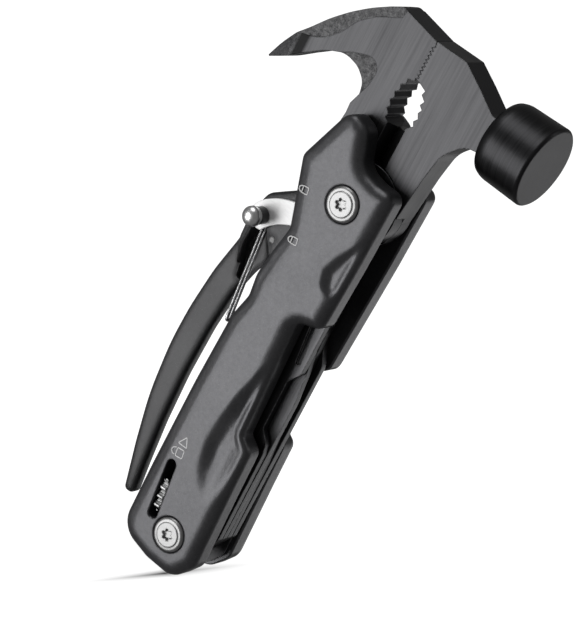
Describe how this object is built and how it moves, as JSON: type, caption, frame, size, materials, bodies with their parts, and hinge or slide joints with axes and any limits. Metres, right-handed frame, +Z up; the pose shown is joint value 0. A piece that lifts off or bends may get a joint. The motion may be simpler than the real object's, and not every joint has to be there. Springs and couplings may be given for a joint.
{
  "type": "multi tool",
  "caption": "Claw hammer and plier multi tool with a sprung lever, a lock plate, folding tools in the handle and a thumb slider that locks them.",
  "frame": {"origin": "centre of the foot's bounding box, at the lowest point of the handle", "axes": "+X toward the hammer face, +Y toward the back scale, +Z up along the handle to the head"},
  "size_m": [0.086, 0.0288, 0.1725],
  "materials": {
    "scale": "satin black coating",
    "liner": "plain ground steel",
    "claw_jaw": "brushed along the handle, with granular cast panels",
    "hammer_jaw": "brushed along the handle, with a gloss black turned poll",
    "lever": "satin black coating",
    "bright": "polished fasteners",
    "dark": "gloss black coating",
    "plate": "satin bright plate",
    "wire": "bright spring wire",
    "washer": "plain ground steel",
    "tools": "ground and lightly polished steel"
  },
  "bodies": {
    "handle": {"front_scale": "scale", "back_scale": "scale", "front_liner": "liner", "back_liner": "liner", "claw_jaw": "claw_jaw", "handle_barrels": "bright", "handle_screws": "bright", "tool_washers": "washer", "pivot_washers": "washer", "claw_dowels": "washer", "back_spacer": "liner", "spring_comb": "washer"},
    "lever": {"hammer_jaw": "hammer_jaw", "lever_handle": "lever", "lever_rivets": "bright", "knob_pin": "washer", "knob_bush": "dark", "knob": "bright"},
    "lock": {"lock_plate": "plate"},
    "spring": {"spring_wire": "wire"},
    "saw": {"saw_tool": "tools"},
    "knife": {"knife_tool": "tools"},
    "driver": {"cross_driver": "tools"},
    "file": {"file_driver": "tools"},
    "slider": {"lock_slider": "bright", "lock_catch": "liner"}
  },
  "joints": [
    {"name": "plier_hinge", "type": "hinge", "parent": "handle", "child": "lever", "pos_m": [0.0027, 0, 0.121], "axis": [0, 1, 0], "range_deg": [0, 18]},
    {"name": "lock_turn", "type": "hinge", "parent": "lever", "child": "lock", "pos_m": [-0.021, 0, 0.1018], "axis": [0, 1, 0], "range_deg": [-6, 6]},
    {"name": "spring_turn", "type": "hinge", "parent": "lever", "child": "spring", "pos_m": [-0.021, 0, 0.1018], "axis": [0, 1, 0], "range_deg": [-25, 0]},
    {"name": "saw_turn", "type": "hinge", "parent": "handle", "child": "saw", "pos_m": [0.0027, 0, 0.011], "axis": [0, 1, 0], "range_deg": [0, 180]},
    {"name": "knife_turn", "type": "hinge", "parent": "handle", "child": "knife", "pos_m": [0.0027, 0, 0.011], "axis": [0, 1, 0], "range_deg": [0, 180]},
    {"name": "driver_turn", "type": "hinge", "parent": "handle", "child": "driver", "pos_m": [0.0027, 0, 0.011], "axis": [0, 1, 0], "range_deg": [0, 180]},
    {"name": "file_turn", "type": "hinge", "parent": "handle", "child": "file", "pos_m": [0.0027, 0, 0.011], "axis": [0, 1, 0], "range_deg": [0, 180]},
    {"name": "slider_slide", "type": "slide", "parent": "handle", "child": "slider", "axis": [-0.1161, 0, 0.9932], "range_m": [0, 0.006]}
  ],
  "couplings": [
    {"joint": "spring_turn", "follows": "plier_hinge", "ratio": -1.35}
  ]
}
